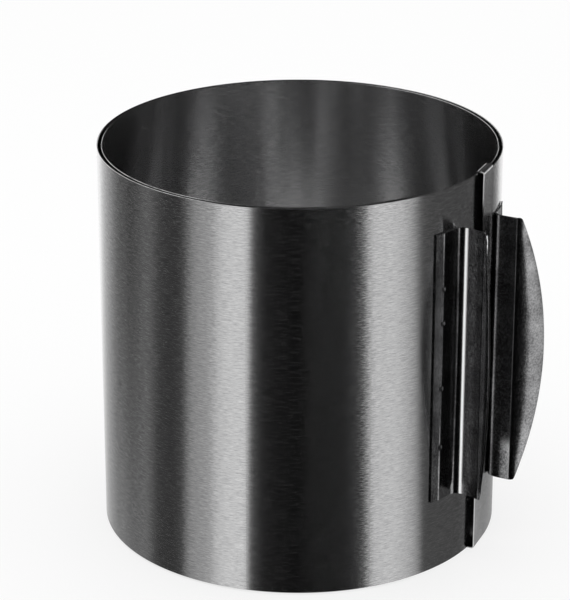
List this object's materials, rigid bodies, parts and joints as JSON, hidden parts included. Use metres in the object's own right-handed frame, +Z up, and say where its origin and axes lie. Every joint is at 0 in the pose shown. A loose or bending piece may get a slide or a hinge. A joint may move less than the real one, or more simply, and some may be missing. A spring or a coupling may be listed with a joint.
{
  "type": "adjustable cake ring",
  "caption": "Open-ended round cake ring of rolled steel strip with a sliding hooked overlap and two folded finger handles; its diameter is set by sliding the strip.",
  "frame": {"origin": "middle of the footprint, on the surface the ring stands on", "axes": "+Z up along the ring's axis, +X outwards through the middle of the two handles, +Y to the side of the handle welded to the hooked end"},
  "size_m": [0.1688, 0.1504, 0.1514],
  "materials": {
    "strip_steel": "cold-rolled stainless strip, brushed along its length",
    "handle_steel": "pressed stainless sheet, semi-gloss, faintly speckled"
  },
  "bodies": {
    "hook_end": {"strip_link_00": "strip_steel", "handle_outer_end": "handle_steel"},
    "outer_01": {"strip_link_01": "strip_steel"},
    "outer_02": {"strip_link_02": "strip_steel"},
    "outer_03": {"strip_link_03": "strip_steel"},
    "outer_04": {"strip_link_04": "strip_steel"},
    "outer_05": {"strip_link_05": "strip_steel"},
    "outer_06": {"strip_link_06": "strip_steel"},
    "outer_07": {"strip_link_07": "strip_steel"},
    "outer_08": {"strip_link_08": "strip_steel"},
    "outer_09": {"strip_link_09": "strip_steel"},
    "handle_seat": {"strip_link_10": "strip_steel", "handle_sliding": "handle_steel"},
    "inner_01": {"strip_link_11": "strip_steel"},
    "inner_02": {"strip_link_12": "strip_steel"},
    "inner_03": {"strip_link_13": "strip_steel"},
    "inner_04": {"strip_link_14": "strip_steel"},
    "inner_05": {"strip_link_15": "strip_steel"},
    "inner_06": {"strip_link_16": "strip_steel"},
    "inner_07": {"strip_link_17": "strip_steel"},
    "inner_08": {"strip_link_18": "strip_steel"},
    "inner_09": {"strip_link_19": "strip_steel"},
    "inner_10": {"strip_link_20": "strip_steel"},
    "inner_11": {"strip_link_21": "strip_steel"},
    "inner_12": {"strip_link_22": "strip_steel"},
    "inner_13": {"strip_link_23": "strip_steel"}
  },
  "joints": [
    {"name": "flex_01", "type": "hinge", "parent": "outer_01", "child": "hook_end", "pos_m": [0.06124, 0.02757, 0.0757], "axis": [0, 0, 1], "range_deg": [0, 7.97]},
    {"name": "flex_02", "type": "hinge", "parent": "outer_02", "child": "outer_01", "pos_m": [0.03263, 0.0626, 0.0757], "axis": [0, 0, 1], "range_deg": [0, 15.97]},
    {"name": "flex_03", "type": "hinge", "parent": "outer_03", "child": "outer_02", "pos_m": [-0.01087, 0.07502, 0.0757], "axis": [0, 0, 1], "range_deg": [0, 16.01]},
    {"name": "flex_04", "type": "hinge", "parent": "outer_04", "child": "outer_03", "pos_m": [-0.05364, 0.06032, 0.0757], "axis": [0, 0, 1], "range_deg": [0, 16.05]},
    {"name": "flex_05", "type": "hinge", "parent": "outer_05", "child": "outer_04", "pos_m": [-0.08027, 0.02376, 0.0757], "axis": [0, 0, 1], "range_deg": [0, 16.09]},
    {"name": "flex_06", "type": "hinge", "parent": "outer_06", "child": "outer_05", "pos_m": [-0.08108, -0.02146, 0.0757], "axis": [0, 0, 1], "range_deg": [0, 16.13]},
    {"name": "flex_07", "type": "hinge", "parent": "outer_07", "child": "outer_06", "pos_m": [-0.05573, -0.05891, 0.0757], "axis": [0, 0, 1], "range_deg": [0, 16.17]},
    {"name": "flex_08", "type": "hinge", "parent": "outer_08", "child": "outer_07", "pos_m": [-0.01344, -0.07491, 0.0757], "axis": [0, 0, 1], "range_deg": [0, 16.21]},
    {"name": "flex_09", "type": "hinge", "parent": "outer_09", "child": "outer_08", "pos_m": [0.03033, -0.06356, 0.0757], "axis": [0, 0, 1], "range_deg": [0, 16.25]},
    {"name": "flex_10", "type": "hinge", "parent": "handle_seat", "child": "outer_09", "pos_m": [0.05947, -0.029, 0.0757], "axis": [0, 0, 1], "range_deg": [0, 11.68]},
    {"name": "open_ring", "type": "hinge", "parent": "handle_seat", "child": "inner_01", "pos_m": [0.06454, -0.00971, 0.0757], "axis": [0, 0, -1], "range_deg": [0, 11.9]},
    {"name": "flex_12", "type": "hinge", "parent": "inner_01", "child": "inner_02", "pos_m": [0.05561, 0.03565, 0.0757], "axis": [0, 0, -1], "range_deg": [0, 16.15]},
    {"name": "flex_13", "type": "hinge", "parent": "inner_02", "child": "inner_03", "pos_m": [0.02448, 0.06548, 0.0757], "axis": [0, 0, -1], "range_deg": [0, 15.08]},
    {"name": "flex_14", "type": "hinge", "parent": "inner_03", "child": "inner_04", "pos_m": [-0.01503, 0.07319, 0.0757], "axis": [0, 0, -1], "range_deg": [0, 14.1]},
    {"name": "flex_15", "type": "hinge", "parent": "inner_04", "child": "inner_05", "pos_m": [-0.0505, 0.06059, 0.0757], "axis": [0, 0, -1], "range_deg": [0, 13.21]},
    {"name": "flex_16", "type": "hinge", "parent": "inner_05", "child": "inner_06", "pos_m": [-0.07403, 0.03426, 0.0757], "axis": [0, 0, -1], "range_deg": [0, 12.42]},
    {"name": "flex_17", "type": "hinge", "parent": "inner_06", "child": "inner_07", "pos_m": [-0.08254, 0.00214, 0.0757], "axis": [0, 0, -1], "range_deg": [0, 11.73]},
    {"name": "flex_18", "type": "hinge", "parent": "inner_07", "child": "inner_08", "pos_m": [-0.07676, -0.02876, 0.0757], "axis": [0, 0, -1], "range_deg": [0, 11.14]},
    {"name": "flex_19", "type": "hinge", "parent": "inner_08", "child": "inner_09", "pos_m": [-0.05973, -0.05334, 0.0757], "axis": [0, 0, -1], "range_deg": [0, 10.64]},
    {"name": "flex_20", "type": "hinge", "parent": "inner_09", "child": "inner_10", "pos_m": [-0.03549, -0.06861, 0.0757], "axis": [0, 0, -1], "range_deg": [0, 10.25]},
    {"name": "flex_21", "type": "hinge", "parent": "inner_10", "child": "inner_11", "pos_m": [-0.00823, -0.07341, 0.0757], "axis": [0, 0, -1], "range_deg": [0, 9.96]},
    {"name": "flex_22", "type": "hinge", "parent": "inner_11", "child": "inner_12", "pos_m": [0.01819, -0.06801, 0.0757], "axis": [0, 0, -1], "range_deg": [0, 9.77]},
    {"name": "flex_23", "type": "hinge", "parent": "inner_12", "child": "inner_13", "pos_m": [0.04054, -0.05366, 0.0757], "axis": [0, 0, -1], "range_deg": [0, 9.68]}
  ],
  "couplings": [
    {"joint": "flex_01", "follows": "open_ring", "ratio": 0.66972},
    {"joint": "flex_02", "follows": "open_ring", "ratio": 1.3411},
    {"joint": "flex_03", "follows": "open_ring", "ratio": 1.3444},
    {"joint": "flex_04", "follows": "open_ring", "ratio": 1.3478},
    {"joint": "flex_05", "follows": "open_ring", "ratio": 1.3511},
    {"joint": "flex_06", "follows": "open_ring", "ratio": 1.3545},
    {"joint": "flex_07", "follows": "open_ring", "ratio": 1.3579},
    {"joint": "flex_08", "follows": "open_ring", "ratio": 1.3614},
    {"joint": "flex_09", "follows": "open_ring", "ratio": 1.3649},
    {"joint": "flex_10", "follows": "open_ring", "ratio": 0.98134},
    {"joint": "flex_12", "follows": "open_ring", "ratio": 1.3568},
    {"joint": "flex_13", "follows": "open_ring", "ratio": 1.2665},
    {"joint": "flex_14", "follows": "open_ring", "ratio": 1.1841},
    {"joint": "flex_15", "follows": "open_ring", "ratio": 1.1097},
    {"joint": "flex_16", "follows": "open_ring", "ratio": 1.0434},
    {"joint": "flex_17", "follows": "open_ring", "ratio": 0.98533},
    {"joint": "flex_18", "follows": "open_ring", "ratio": 0.93552},
    {"joint": "flex_19", "follows": "open_ring", "ratio": 0.89407},
    {"joint": "flex_20", "follows": "open_ring", "ratio": 0.86104},
    {"joint": "flex_21", "follows": "open_ring", "ratio": 0.8365},
    {"joint": "flex_22", "follows": "open_ring", "ratio": 0.82051},
    {"joint": "flex_23", "follows": "open_ring", "ratio": 0.81312}
  ]
}
